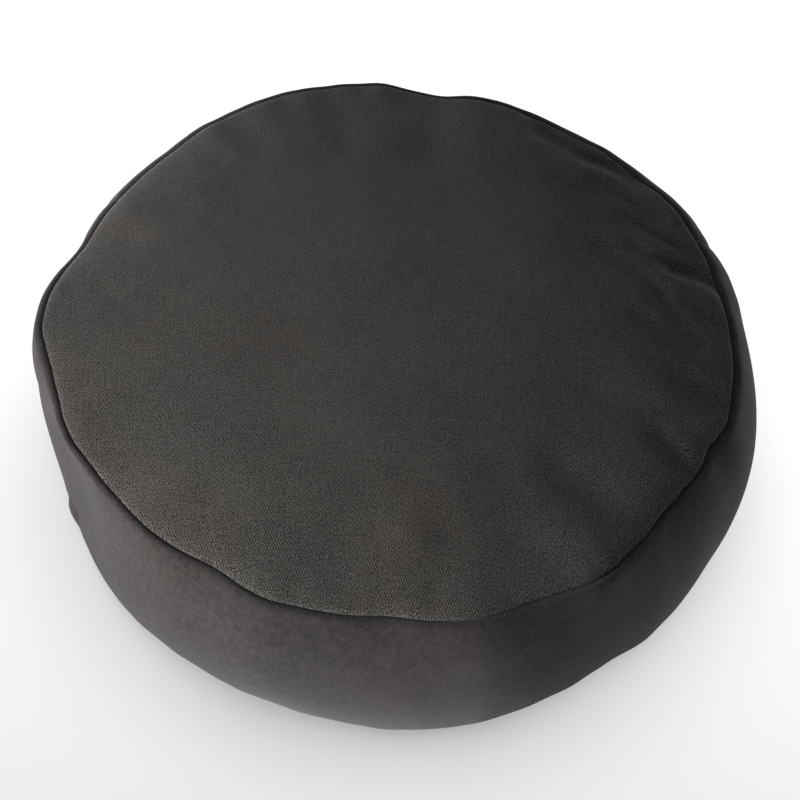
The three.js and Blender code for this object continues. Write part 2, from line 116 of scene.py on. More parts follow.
rings = []
for step in range(17):
    radius = GRID_RADIUS + (DOME_EDGE - GRID_RADIUS) * step / 16
    rings.append((radius, dome_height(radius)))
rings += [(0.1816, 0.1149), (0.1860, 0.1136), (0.1901, 0.1117), (0.1938, 0.1093), (0.1970, 0.1066)]
rings += [(SEAM_RADIUS, TOP_SEAM)]
for z in (0.1050, 0.1005, 0.0955, 0.0900, 0.0845, 0.0790, 0.0735, 0.0675, HEM_HIGH, 0.058, 0.054):
    rings.append((side_radius(z), z))
for z in (HEM_LOW, 0.0445, 0.0385, 0.0330, 0.0275, 0.0220, 0.0165, 0.0115, 0.0070):
    rings.append((side_radius(z), z))
rings += [(SEAM_RADIUS, LOW_SEAM)]
rings += [(0.1965, 0.0051), (0.1935, 0.0033), (0.1895, 0.0014), (0.1855, 0.0004)]
for step in range(13):
    rings.append((FLAT_EDGE + (GRID_RADIUS - FLAT_EDGE) * step / 12, 0.0))

deselect()
bpy.ops.mesh.primitive_circle_add(vertices=COLUMNS, radius=rings[0][0], location=(0, 0, rings[0][1]))
skin = bpy.context.object
skin.name = "cover_skin"
bpy.ops.object.transform_apply(location=True, rotation=True, scale=True)
bpy.ops.object.mode_set(mode="EDIT")
bpy.ops.mesh.select_all(action="SELECT")
for (radius, z), (next_radius, next_z) in zip(rings, rings[1:]):
    bpy.ops.mesh.extrude_edges_move(TRANSFORM_OT_translate={"value": (0, 0, next_z - z)})
    size = next_radius / radius
    bpy.ops.transform.resize(value=(size, size, 1), center_override=(0, 0, next_z))
for height in (rings[0][1], rings[-1][1]):
    edit_verts(skin, lambda co: math.hypot(co.x, co.y) < GRID_RADIUS + NEAR and abs(co.z - height) < NEAR)
    bpy.ops.mesh.fill_grid(span=COLUMNS // 4)
bpy.ops.mesh.select_all(action="SELECT")
bpy.ops.mesh.normals_make_consistent(inside=False)
bpy.ops.object.mode_set(mode="OBJECT")

# The stitching gathers the cloth unevenly, so each seam wanders in and out of its circle: the angle
# in degrees of each place, its width in degrees, and its move outwards in millimetres.
TOP_SEAM_WANDER = [
    (-158, 7, 2.0), (-134, 6, -2.5), (-121, 9, -3.5), (-107, 7, -3.5), (-91, 12, 9.0), (-67, 8, 4.5),
    (-55, 9, -1.0), (-30, 6, -4.5), (-20, 5, 2.5), (1, 6, -3.5), (15, 7, 4.5), (38, 5, 4.0), (58, 9, -6.5),
    (72, 4, -5.0), (96, 8, -2.5), (109, 7, -3.0), (122, 7, -1.5), (137, 7, -3.0), (150, 7, -4.5),
    (160, 6, -2.5), (176.5, 7, -6.2), (-174, 6, 1.2),
]
LOW_SEAM_WANDER = [
    (-150, 8, -3.0), (-112, 9, -1.0), (-72, 26, -8.0), (-28, 20, -4.0), (8, 14, 2.5), (40, 10, -3.5),
    (66, 6, -2.0), (105, 9, 2.0), (140, 7, -2.5), (172, 8, 2.0),
]


def wander(places, degrees, seed):
    """How far a seam is from its circle, with a fine gather between the stitches."""
    total = 0.0
    for centre, width, move in places:
        away = (degrees - centre + 180) % 360 - 180
        total += move * math.exp(-((away / width) ** 2))
    turn = math.radians(degrees)
    gather = noise.noise(Vector((math.cos(turn) * 6, math.sin(turn) * 6, seed)))
    fine = noise.noise(Vector((math.cos(turn) * 15, math.sin(turn) * 15, seed + 5)))
    return (total + gather + 0.8 * fine) / 1000


PANELS = ("top", "front", "back_upper", "back_lower", "bottom", "zip_slot")


def panel_of(co):
    """The panel that a face of the skin belongs to, from its middle before it is blown up."""
    radius, around = math.hypot(co.x, co.y), abs(round_from_front(co))
    if co.z > TOP_SEAM + 0.0005 or (co.z > TOP_SEAM + NEAR and radius < SEAM_RADIUS):
        return "top"
    if co.z < LOW_SEAM - 0.0005 or (co.z < LOW_SEAM - NEAR and radius < SEAM_RADIUS):
        return "bottom"
    if around < JOIN:
        return "front"
    return "back_upper" if co.z > HEM_HIGH else "back_lower" if co.z < HEM_LOW else "zip_slot"


# The columns of points are moved so that one of them lies on each upright join.
for vert in skin.data.vertices:
    around = round_from_front(vert.co)
    radius = math.hypot(vert.co.x, vert.co.y)
    if radius > GRID_RADIUS - 0.0005:
        if abs(around) <= DRAWN_JOIN:
            moved = around * JOIN / DRAWN_JOIN
        else:
            past_join = (abs(around) - DRAWN_JOIN) * (180 - JOIN) / (180 - DRAWN_JOIN)
            moved = math.copysign(JOIN + past_join, around)
        turn = math.radians(moved)
        vert.co.x, vert.co.y = radius * math.sin(turn), -radius * math.cos(turn)
    elif vert.co.z > MIDDLE:
        vert.co.z = dome_height(radius)

for panel in PANELS:
    skin.data.materials.append(bpy.data.materials.new("panel_" + panel))
for face in skin.data.polygons:
    face.material_index = PANELS.index(panel_of(face.center))

# Held points: both seams, the hems beside the zip, the upright joins and the flat underside.
held, gathered = [], []
seam_points = [], []  # of the top seam and of the lower one
for vert in skin.data.vertices:
    radius, around = math.hypot(vert.co.x, vert.co.y), round_from_front(vert.co)
    off_seam = min(abs(vert.co.z - TOP_SEAM), abs(vert.co.z - LOW_SEAM))
    on_seam = off_seam < NEAR and radius < SEAM_RADIUS + NEAR
    on_hem = 0.0440 < vert.co.z < 0.0680 and abs(around) > JOIN - 0.3 and radius > 0.2
    on_join = abs(abs(around) - JOIN) < 0.3 and radius > 0.199
    flat = vert.co.z < 0.001
    if on_seam:
        seam_points[0 if vert.co.z > MIDDLE else 1].append(vert.index)
    if on_seam or on_hem or on_join or flat:
        held.append(vert.index)
    if on_join and not on_hem:
        vert.co.x *= 0.993
        vert.co.y *= 0.993
    from_top = abs(vert.co.z - TOP_SEAM) + max(SEAM_RADIUS - radius, 0)
    from_low = abs(vert.co.z - LOW_SEAM) + max(SEAM_RADIUS - radius, 0)
    gathered.append(math.exp(-((min(from_top, from_low) / SEAM_REACH) ** 2)))
    top_pull = wander(TOP_SEAM_WANDER, around, 1.0) * math.exp(-from_top / SEAM_REACH)
    low_pull = wander(LOW_SEAM_WANDER, around, 9.0) * math.exp(-from_low / SEAM_REACH)
    if on_hem:
        top_pull = low_pull = 0
    grow = (radius + 1.05 * top_pull + low_pull) / max(radius, 0.001)
    vert.co.x *= grow
    vert.co.y *= grow
    vert.co.z += 0.3 * top_pull - (0.15 * low_pull if vert.co.z > 0.001 else 0)

before = [vert.co.copy() for vert in skin.data.vertices]
hold = skin.vertex_groups.new(name="held")
hold.add(held, 1.0, "REPLACE")
gather = skin.vertex_groups.new(name="gathered")
for index, weight in enumerate(gathered):
    gather.add([index], weight, "REPLACE")

# Blown up as cloth. The cloth near the seams is a little longer than the seams, so it puckers there.
CANVAS_RISE = 0.007  # the most that a point may move
pick(skin)
cloth = skin.modifiers.new("Cloth", "CLOTH")
cloth.settings.quality = 6
cloth.settings.mass = 0.3
cloth.settings.tension_stiffness = 40
cloth.settings.compression_stiffness = 40
cloth.settings.shear_stiffness = 20
cloth.settings.bending_stiffness = 1.0
cloth.settings.tension_damping = 25
cloth.settings.compression_damping = 25
cloth.settings.use_pressure = True
cloth.settings.uniform_pressure_force = 4
cloth.settings.vertex_group_mass = "held"
cloth.settings.vertex_group_shrink = "gathered"
cloth.settings.shrink_min = 0.0
cloth.settings.shrink_max = -0.009
cloth.settings.effector_weights.gravity = 0
cloth.collision_settings.use_collision = False
cloth.collision_settings.use_self_collision = False
cloth.point_cache.frame_start = 1
cloth.point_cache.frame_end = 20
for frame_number in range(1, 21):
    bpy.context.scene.frame_set(frame_number)
bpy.ops.object.modifier_apply(modifier="Cloth")
bpy.context.scene.frame_set(1)
for vert, start in zip(skin.data.vertices, before):
    move = vert.co - start
    if move.length > CANVAS_RISE:
        vert.co = start + move * (CANVAS_RISE / move.length)
    vert.co.z = max(vert.co.z, 0.0)



def smooth_out(piece, rounds, group=""):
    """Evens a piece out, all over or as far as one of its vertex groups says."""
    pick(piece)
    smoothing = piece.modifiers.new("Smooth", "SMOOTH")
    smoothing.factor, smoothing.iterations, smoothing.vertex_group = 0.5, rounds, group
    bpy.ops.object.modifier_apply(modifier="Smooth")


# The filling pushes the top out evenly, so its puckers die out a little way in from the seam. The
# low part of the side is drawn in on the left, and it is even there as well.
CALM_RADIUS, CALM_FADE = 0.193, 0.020  # the top is all even further in than their difference
CALM_SIDE = (-72, 0.028)  # the middle of the drawn-in part: degrees from the front, and height
CALM_SIDE_REACH = (26, 0.022)  # from that middle, round and upwards, to where it ends
calm = skin.vertex_groups.new(name="calm")
for vert in skin.data.vertices:
    radius = math.hypot(vert.co.x, vert.co.y)
    if vert.co.z > 0.104:
        calm.add([vert.index], min(max((CALM_RADIUS - radius) / CALM_FADE, 0.0), 1.0), "REPLACE")
    elif radius > 0.185:
        sideways = (round_from_front(vert.co) - CALM_SIDE[0]) / CALM_SIDE_REACH[0]
        upwards = (vert.co.z - CALM_SIDE[1]) / CALM_SIDE_REACH[1]
        calm.add([vert.index], max(1 - sideways**2 - upwards**2, 0.0), "REPLACE")
smooth_out(skin, 30, "calm")

# The filling lies unevenly under the cloth, so the top has soft hollows and ridges: the two ends of
# each, its width and its depth, in millimetres. A ridge has a depth below zero.
TOP_HOLLOWS = [
    ((-10, 178), (42, 184), 15, 1.2), ((158, 66), (186, 62), 6, 4.6), ((134, 74), (158, 66), 6, 2.0),
    ((150, 52), (178, 49), 6, -1.4), ((150, 38), (175, 12), 6, 2.2), ((139, 22), (169, 6), 6, 1.7),
    ((164, -18), (186, -25), 7, 1.7), ((113, 126), (146, 104), 6, 2.5), ((121, 114), (152, 92), 6, -1.2),
    ((131, 100), (167, 77), 6, 2.6), ((140, 83), (172, 69), 6, -1.0), ((103, 147), (134, 141), 6, 2.7),
    ((89, 122), (125, 111), 7, 1.4), ((114, 70), (150, 45), 6, 1.7), ((76, 163), (110, 146), 7, 2.1),
    ((120, 142), (133, 132), 6, 2.2), ((70, 180), (76, 168), 7, 2.4), ((168, 42), (185, 28), 6, 2.2),
    ((172, -78), (154, -62), 6, 3.0), ((97, -93), (146, -121), 13, 1.8), ((120, -140), (134, -146), 12, -1.1),
    ((10, -170), (12, -150), 16, -1.0), ((-24, -178), (-23, -150), 13, 1.1),
    ((38, -172), (37, -145), 13, 0.9), ((-110, -140), (-96, -120), 15, 0.7),
    ((-98, 152), (-85, 130), 9, 0.8), ((-126, 136), (-112, 122), 7, 1.0), ((-152, 92), (-132, 80), 9, 0.9),
    ((-176, 62), (-160, 58), 7, 1.1), ((-186, 20), (-168, 16), 8, 1.0), ((-165, -70), (-150, -60), 9, 0.8),
]
# Just below the top seam the band stands out or lies in: degrees from the front, width in degrees,
# and push in millimetres.
SHOULDERS = [
    (112, 9, 3.0), (131, 10, 3.2), (150, 8, 2.5), (-107, 9, -4.0), (-85, 9, 2.5),
    (20, 12, 1.5), (-20, 14, 1.5),
]
# The band has upright hollows and ridges: degrees from the front, width in degrees, and depth in
# millimetres. The first five are broad, and the rest are soft folds.
BAND_HOLLOWS = [
    (-66, 17, 18.0), (-42, 14, 6.5), (-98, 14, 3.5), (46, 16, 5.5), (14, 9, -2.5),
    (-70, 7, 1.2), (-48, 8, -1.0), (-30, 5, 1.3), (-18, 4, -1.0), (-7, 4, 1.2), (3, 4, -1.2), (12, 4, 1.3),
    (24, 5, -0.8), (36, 5, 1.4), (50, 6, -1.0), (66, 5, 1.6), (84, 7, -0.8), (104, 6, 1.4),
    (-95, 6, -0.8), (-112, 5, 1.2),
]


def move_out(vert, push, radius):
    """Moves a point away from the cushion's axis by some millimetres, given its first radius."""
    vert.co.x *= 1 + push / 1000 / radius
    vert.co.y *= 1 + push / 1000 / radius


def strength(around, centre, width):
    """How much of a fold is felt at an angle: 1 at its middle, and fading to 0."""
    return math.exp(-(((around - centre) / width) ** 2))


for index in seam_points[0] + seam_points[1]:  # the stitches draw the seams in
    skin.data.vertices[index].co.x *= 1 - SEAM_GROOVE / SEAM_RADIUS
    skin.data.vertices[index].co.y *= 1 - SEAM_GROOVE / SEAM_RADIUS
for vert in skin.data.vertices:
    x, y, z = vert.co * 1000
    radius, around = math.hypot(vert.co.x, vert.co.y), round_from_front(vert.co)
    if z > 104 and radius < 0.196:
        for (x1, y1), (x2, y2), width, depth in TOP_HOLLOWS:
            long_x, long_y = x2 - x1, y2 - y1
            along = ((x - x1) * long_x + (y - y1) * long_y) / (long_x**2 + long_y**2)
            along = min(max(along, 0.0), 1.0)
            away = math.hypot(x - x1 - along * long_x, y - y1 - along * long_y)
            vert.co.z -= depth / 1000 * math.exp(-((away / width) ** 2))
    if 70 < z < 103.5 and radius > 0.198:
        for centre, width, push in SHOULDERS:
            out = push * strength(around, centre, width) * math.sin(math.pi * (z - 70) / 34)
            move_out(vert, out, radius)
    if 9 < z < 103 and abs(around) < JOIN - 3 and radius > 0.196:
        for centre, width, depth in BAND_HOLLOWS:
            hollow = depth * strength(around, centre, width) * math.sin(math.pi * (z - 6) / 100)
            move_out(vert, -hollow, radius)


# ---- Filling and liner --------------------------------------------------------------------------
# A foam core, cut round, has a sheet of polyester wadding above and below it and a band of wadding
# round its side. A sewn liner of plain white cloth holds them together when the cover is off.
class Wire:
    """A socket in a material's nodes, so that sums on sockets can be written as sums."""

    def __init__(self, tree, socket=None):
        self.tree, self.socket = tree, socket

    def node(self, kind, values=None, out=0, **settings):
        """Adds a node: its settings first, and then its values and links."""
        made = self.tree.nodes.new(kind)
        for name, setting in settings.items():
            setattr(made, name, setting)
        for name, value in (values or {}).items():
            if isinstance(value, Wire):
                self.tree.links.new(value.socket, made.inputs[name])
            else:
                made.inputs[name].default_value = value
        return Wire(self.tree, made.outputs[out])

    def math(self, operation, first, second=0.0):
        return self.node("ShaderNodeMath", {0: first, 1: second}, operation=operation)

    def within(self, low, high):
        return self.math("MAXIMUM", self.math("MINIMUM", self, high), low)

    def __add__(self, other):
        return self.math("ADD", self, other)

    def __sub__(self, other):
        return self.math("SUBTRACT", self, other)

    def __rsub__(self, other):
        return self.math("SUBTRACT", other, self)

    def __mul__(self, other):
        return self.math("MULTIPLY", self, other)

    __radd__, __rmul__ = __add__, __mul__


def new_finish(name, rough, metal=0.0, specular=0.5, sheen=0.0):
    """A new material, a wire to start its nodes from and its shader's sockets."""
    finish = bpy.data.materials.new(name)
    finish.use_nodes = True
    sockets = finish.node_tree.nodes["Principled BSDF"].inputs
    sockets["Roughness"].default_value = rough
    sockets["Metallic"].default_value = metal
    sockets["Specular IOR Level"].default_value = specular
    sockets["Sheen Weight"].default_value = sheen
    return finish, Wire(finish.node_tree), sockets


def plug(wire, socket):
    wire.tree.links.new(wire.socket, socket)


def blend_colours(amount, first, second):
    """Mixes two plain colours by an amount from 0 to 1."""
    colours = {6: (*first, 1), 7: (*second, 1)}
    return amount.node("ShaderNodeMix", {0: amount, **colours}, out=2, data_type="RGBA")


def raised(wire, height, strength, distance, socket):
    bump = wire.node("ShaderNodeBump", {"Height": height, "Strength": strength, "Distance": distance})
    plug(bump, socket)


def noise_at(place, scale, detail=2.0, rough=0.5):
    values = {"Vector": place, "Scale": scale, "Detail": detail, "Roughness": rough}
    return place.node("ShaderNodeTexNoise", values)


def dress(piece, finish, carried=False):
    """Gives a piece its finish, and smooth shading unless it is carried over as it is."""
    piece.data.materials.clear()
    piece.data.materials.append(finish)
    if not carried:
        for face in piece.data.polygons:
            face.material_index = 0
            face.use_smooth = True


def select_open_edges(piece, wanted):
    """Opens a piece for editing, with those open edges selected whose both ends are wanted."""
    edit_verts(piece, lambda co: False)
    bpy.ops.mesh.select_non_manifold(
        extend=False, use_wire=False, use_boundary=True, use_multi_face=False,
        use_non_contiguous=False, use_verts=False,
    )
    bpy.ops.object.mode_set(mode="OBJECT")
    points = piece.data.vertices
    for vert in points:
        vert.select = vert.select and wanted(vert.co)
    for edge in piece.data.edges:
        edge.select = edge.select and all(points[v].select for v in edge.vertices)
    for face in piece.data.polygons:
        face.select = False
    bpy.ops.object.mode_set(mode="EDIT")


def shell_inside(name, panel_inset, side_inset, rounds):
    """A copy of the whole skin, smoothed, moved inwards and smoothed again."""
    shell = skin.copy()
    shell.data = skin.data.copy()
    shell.name = shell.data.name = name
    bpy.context.scene.collection.objects.link(shell)
    smooth_out(shell, rounds[0])
    normals = [vert.normal.copy() for vert in shell.data.vertices]
    for vert, normal in zip(shell.data.vertices, normals):
        sideways = math.hypot(normal.x, normal.y)
        vert.co -= normal * (panel_inset + (side_inset - panel_inset) * sideways)
    smooth_out(shell, rounds[1])
    for face in shell.data.polygons:
        if PANELS[face.material_index] not in ("top", "bottom"):
            face.material_index = PANELS.index("front")
    return shell


def layer_between(outer, inner):
    """Joins two shells into a top sheet, a side band and a bottom sheet, each closed."""
    edit_verts(inner, lambda co: True)
    bpy.ops.mesh.flip_normals()
    bpy.ops.object.mode_set(mode="OBJECT")
    pick(outer)
    inner.select_set(True)
    bpy.ops.object.join()
    bpy.ops.object.mode_set(mode="EDIT")
    bpy.ops.mesh.separate(type="MATERIAL")
    bpy.ops.object.mode_set(mode="OBJECT")
    sheets = {}
    for sheet in [o for o in bpy.context.selected_objects if o.type == "MESH"]:
        sheets[sheet.data.materials[sheet.data.polygons[0].material_index].name] = sheet
        for upper in (True, False):
            select_open_edges(sheet, lambda co: (co.z > MIDDLE) == upper)
            if sum(e.select for e in sheet.data.edges):
                bpy.ops.mesh.bridge_edge_loops()
            bpy.ops.object.mode_set(mode="OBJECT")
    return [sheets["panel_top"], sheets["panel_front"], sheets["panel_bottom"]]


def foam_finish():
    finish, wire, sockets = new_finish("polyurethane_foam", 0.95, specular=0.2)
    place = wire.node("ShaderNodeTexCoord", out=3)
    cells = wire.node("ShaderNodeTexVoronoi", {"Vector": place, "Scale": 900.0}, out=0)
    tone = cells * 0.6 + noise_at(place, 20.0) * 0.4
    plug(blend_colours(tone, (0.52, 0.43, 0.20), (0.80, 0.72, 0.47)), sockets["Base Color"])
    raised(wire, cells, 0.7, 0.0004, sockets["Normal"])
    return finish


def wadding_finish():
    finish, wire, sockets = new_finish("polyester_wadding", 1.0, specular=0.15, sheen=0.2)
    place = wire.node("ShaderNodeTexCoord", out=3)
    longways = wire.node("ShaderNodeMapping", {"Vector": place, "Scale": (1.0, 5.0, 3.0)})
    fibres = noise_at(longways, 260.0, 4.0, 0.7)
    lumps = noise_at(place, 35.0, 3.0)
    tone = fibres * 0.6 + lumps * 0.4
    plug(blend_colours(tone, (0.66, 0.66, 0.64), (0.90, 0.90, 0.88)), sockets["Base Color"])
    raised(wire, fibres * 0.4 + lumps, 0.8, 0.0015, sockets["Normal"])
    return finish


def liner_finish():
    finish, wire, sockets = new_finish("liner_cloth", 0.9, specular=0.25)
    place = wire.node("ShaderNodeTexCoord", out=3)
    yarn = {"Vector": place, "Scale": 700.0, "Distortion": 0.6}
    threads = [wire.node("ShaderNodeTexWave", yarn, bands_direction=way) for way in "XYZ"]
    weave = threads[0] * threads[1] + threads[2] * 0.5
    tone = weave * 0.6 + noise_at(place, 60.0) * 0.4
    plug(blend_colours(tone, (0.58, 0.55, 0.50), (0.80, 0.78, 0.73)), sockets["Base Color"])
    raised(wire, weave, 0.5, 0.0002, sockets["Normal"])
    return finish


foam_core = shell_inside("foam_core_block", 0.0139, 0.0176, (10, 20))
dress(foam_core, foam_finish())
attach(foam_core, "cushion")
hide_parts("foam_core")

wadding = layer_between(
    shell_inside("wadding_layer", 0.0036, 0.0072, (5, 3)),
    shell_inside("wadding_inner", 0.0135, 0.0172, (10, 20)),
)
liner = layer_between(
    shell_inside("liner_layer", 0.0024, 0.0060, (3, 0)),
    shell_inside("liner_inner", 0.0030, 0.0066, (3, 0)),
)
for pieces, finish, layer, slot, ends in (
    (wadding, wadding_finish(), "wadding", "wadding", ("top_sheet", "side_band", "bottom_sheet")),
    (liner, liner_finish(), "liner", "liner", ("top_panel", "side_band", "bottom_panel")),
):
    for piece, end in zip(pieces, ends):
        piece.name = piece.data.name = "%s_%s_soft" % (layer, end)
        dress(piece, finish)
        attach(piece, "cushion")
        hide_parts("%s_%s" % (layer, end))


# ---- Top panel ----------------------------------------------------------------------------------
# A disc of plain-woven dark grey cotton canvas. Its edge is turned in at the seam, and it domes up
# over the filling. The warp runs from front to back, and the weft is twice as thick as the warp.
WARP, WEFT = 0.000785, 0.00164  # spacing of the two yarns
CLOTH = 0.0009  # thickness
EDGE_RADIUS = 0.2  # about where a panel's open edges lie

# The line of each long seam is kept for its thread, and then the skin is cut into its panels.
seams = {}
for name, held_points in (("top_seam_thread", seam_points[0]), ("bottom_seam_thread", seam_points[1])):
    edit_verts(skin, lambda co: False)
    bpy.ops.object.mode_set(mode="OBJECT")
    for index in held_points:
        skin.data.vertices[index].select = True
    bpy.ops.object.mode_set(mode="EDIT")
    bpy.ops.mesh.select_mode(type="EDGE")
    bpy.ops.mesh.duplicate()
    bpy.ops.mesh.separate(type="SELECTED")
    bpy.ops.object.mode_set(mode="OBJECT")
    seams[name] = next(o for o in bpy.context.selected_objects if o != skin)
    seams[name].name = name + "_line"

edit_verts(skin, lambda co: False)
bpy.ops.mesh.separate(type="MATERIAL")
bpy.ops.object.mode_set(mode="OBJECT")
panels = {}
for piece in [o for o in bpy.data.objects if o.name.startswith("cover_skin")]:
    panels[piece.data.materials[piece.data.polygons[0].material_index].name] = piece
bpy.data.objects.remove(panels.pop("panel_zip_slot"))  # the slot that the zip shows through


def canvas_finish(name, dark, light, weave, relief, upright):
    """Canvas, for a flat cut or for a band whose warp is upright. The weave is how strongly the yarns
    show in its colour, and the relief how strongly they stand out. Noise scales are per metre."""
    finish, wire, sockets = new_finish(name, 0.93, specular=0.15, sheen=0.1)
    place = wire.node("ShaderNodeTexCoord", out=3)
    x, y, z = (wire.node("ShaderNodeSeparateXYZ", {0: place}, out=i) for i in range(3))
    if upright:
        # The band rolls inwards at both seams, and there the yarns go on inwards too.
        inward = wire.math("SQRT", x * x + y * y) - BAND_RADIUS
        upper = ((z - MIDDLE) * 50.0).within(-1.0, 1.0)
        across, along = wire.math("ARCTAN2", x, y * -1.0) * BAND_RADIUS, z - inward * upper * 0.6
    else:
        across, along = x, y
    # The yarns waver a little, and each is thick in some places and thin in others.
    waver = noise_at(place, 45.0) - 0.5
    across, along = across + waver * 0.0012, along + waver * 0.0008
    over = wire.math("SINE", across * (math.pi / WARP)) * wire.math("SINE", along * (math.pi / WEFT))
    yarn_places = (
        wire.node("ShaderNodeCombineXYZ", {0: across * fine_across, 1: along * fine_along})
        for fine_across, fine_along in ((1100.0, 70.0), (70.0, 520.0), (1500.0, 1150.0))
    )
    warp_slub, weft_slub, crossing = (noise_at(yarn_place, 1.0) - 0.5 for yarn_place in yarn_places)
    cloudy, patchy = noise_at(place, 14.0, 3.0) - 0.5, noise_at(place, 260.0) - 0.5
    woven = over * 0.45 + crossing * 4.8 + warp_slub * 0.7 + weft_slub * 0.4
    tone = (0.44 + woven * weave + cloudy * 0.6 + patchy * (1.3 - weave)).within(0.0, 1.0)
    # The dye has faded unevenly, and the faded places are a little warmer.
    faded = (noise_at(place, 11.0) * 3.0 - 1.0).within(0.0, 1.0)
    dyes = {0: faded, 6: blend_colours(tone, dark, light), 7: (1.0, 0.92, 0.91, 1)}
    dyed = wire.node("ShaderNodeMix", dyes, out=2, data_type="RGBA", blend_type="MULTIPLY")
    plug(dyed, sockets["Base Color"])
    height = over * 0.5 + crossing + warp_slub * 0.6 + weft_slub * 0.4
    raised(wire, height, relief, 0.0004, sockets["Normal"])
    return finish


def turn_in(piece, wanted, move_in, rise):
    """Turns in those open edges of a panel that are wanted, as at a seam or a hem."""
    select_open_edges(piece, wanted)
    bpy.ops.mesh.extrude_edges_move(TRANSFORM_OT_translate={"value": (0, 0, rise)})
    size = 1 - move_in / EDGE_RADIUS
    bpy.ops.transform.resize(value=(size, size, 1), center_override=(0, 0, 0))
    bpy.ops.object.mode_set(mode="OBJECT")


def finish_panel(piece, name, node, finish):
    """Gives a cover panel its thickness, inwards, its finish and its place in the frame."""
    piece.name = piece.data.name = name
    pick(piece)
    wall = piece.modifiers.new("Solidify", "SOLIDIFY")
    wall.thickness, wall.offset = CLOTH, -1
    bpy.ops.object.modifier_apply(modifier="Solidify")
    rounding = piece.modifiers.new("Subdivision", "SUBSURF")
    rounding.levels = rounding.render_levels = 1
    bpy.ops.object.modifier_apply(modifier="Subdivision")
    dress(piece, finish)
    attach(piece, "cushion")
    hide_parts(node)


flat_canvas = canvas_finish(
    "canvas_flat", (0.0020, 0.0018, 0.0016), (0.0490, 0.0468, 0.0420), weave=1.0, relief=0.5, upright=False
)
turn_in(panels["panel_top"], lambda co: True, 0.0035, -0.0015)
finish_panel(panels["panel_top"], "top_panel_cloth", "top_panel", flat_canvas)


# ---- Side band ----------------------------------------------------------------------------------
# One long strip of canvas goes round the front and sides with its warp upright. Two narrower strips
# finish the back, and their inner edges are hemmed beside the zip. Upright seams join the strips.
TOP_EDGE, LOW_EDGE = 0.0985, 0.0135  # the strips' long edges lie above and below these heights,
SEAM_EDGE_RADIUS = 0.2055  # and inside this radius


def at_seam(co):
    return math.hypot(co.x, co.y) < SEAM_EDGE_RADIUS


# The band is the same canvas as the top and bottom, but its colours are darker: a painted shade on the
# cushion's side.
band_canvas_painted_shade = canvas_finish(
    "canvas_band_painted_shade", (0.0036, 0.0032, 0.0031), (0.0268, 0.0236, 0.0225), weave=0.45, relief=0.35, upright=True
)
for panel in ("front", "back_upper", "back_lower"):
    strip, node = panels["panel_" + panel], "side_band_" + panel
    turn_in(strip, lambda co: co.z > TOP_EDGE and at_seam(co), 0.0030, -0.0028)
    turn_in(strip, lambda co: co.z < LOW_EDGE and at_seam(co), 0.0030, 0.0028)
    turn_in(strip, lambda co: LOW_EDGE < co.z < TOP_EDGE, 0.0020, 0)
    finish_panel(strip, node + "_cloth", node, band_canvas_painted_shade)


# ---- Bottom panel -------------------------------------------------------------------------------
# The same disc of canvas as the top, pressed flat on the floor by the cushion's own weight. Only
# its edge rolls up to the lower seam.
turn_in(panels["panel_bottom"], lambda co: True, 0.0035, 0.0015)
finish_panel(panels["panel_bottom"], "bottom_panel_cloth", "bottom_panel", flat_canvas)


# ---- Threads ------------------------------------------------------------------------------------
# Spun polyester sewing thread in the cover's colour. The seams' threads lie inside, and outside only
# the two rows of stitches show that hold the hems to the zip's tapes.
STITCH, STITCH_GAP = 0.0027, 0.0006  # length of a stitch, and the cloth left before the next
STITCH_RISE, STITCH_THICK = 0.00030, 0.00026  # half sizes of a stitch, outwards and upwards
ROW_RADIUS = 0.21205
ROW_ABOVE, ROW_BELOW = 0.0655, 0.0465  # heights of the two rows of stitches
THREAD_RADIUS = 0.00025
THREAD_DEEP = 0.0020  # from the groove of a seam to its thread
ROW_END = 1.5  # degrees between an upright join and the nearest stitch


def thread_finish(name, dark, light):
    finish, wire, sockets = new_finish(name, 0.7, specular=0.3)
    place = wire.node("ShaderNodeTexCoord", out=3)
    twist = {"Vector": place, "Scale": 450.0, "Distortion": 2.0}
    ply = wire.node("ShaderNodeTexWave", twist, bands_direction="DIAGONAL")
    plug(blend_colours(noise_at(place, 1500.0) * 0.6 + ply * 0.4, dark, light), sockets["Base Color"])
    raised(wire, ply, 0.5, 0.0001, sockets["Normal"])
    return finish


def repeat_round(degrees, count):
    """Copies the selected mesh round the cushion, count times in all, over an angle."""
    turn = -math.radians(degrees)
    bpy.ops.mesh.spin(steps=count - 1, dupli=True, angle=turn, center=(0, 0, 0), axis=(0, 0, 1))


grey_thread = thread_finish("thread_grey", (0.022, 0.021, 0.020), (0.050, 0.048, 0.046))
for name in ("join_thread_left", "join_thread_right", "liner_top_thread", "liner_bottom_thread"):
    dress(frame["nodes"][name], grey_thread, carried=True)

# The two long seams' threads wander with their seams, just inside the cover.
for name, seam in seams.items():
    edit_verts(seam, lambda co: True)
    size = 1 - THREAD_DEEP / SEAM_RADIUS
    bpy.ops.transform.resize(value=(size, size, 1), center_override=(0, 0, 0))
    inwards = -THREAD_DEEP / 2 if name.startswith("top") else THREAD_DEEP / 2
    bpy.ops.transform.translate(value=(0, 0, inwards))
    bpy.ops.object.mode_set(mode="OBJECT")
    pick(seam)
    bpy.ops.object.convert(target="CURVE")
    seam.data.bevel_depth, seam.data.bevel_resolution = THREAD_RADIUS, 2
    bpy.ops.object.convert(target="MESH")
    seam = bpy.context.object
    seam.name = seam.data.name = name + "_run"
    dress(seam, grey_thread)
    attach(seam, "cushion")
    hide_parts(name)

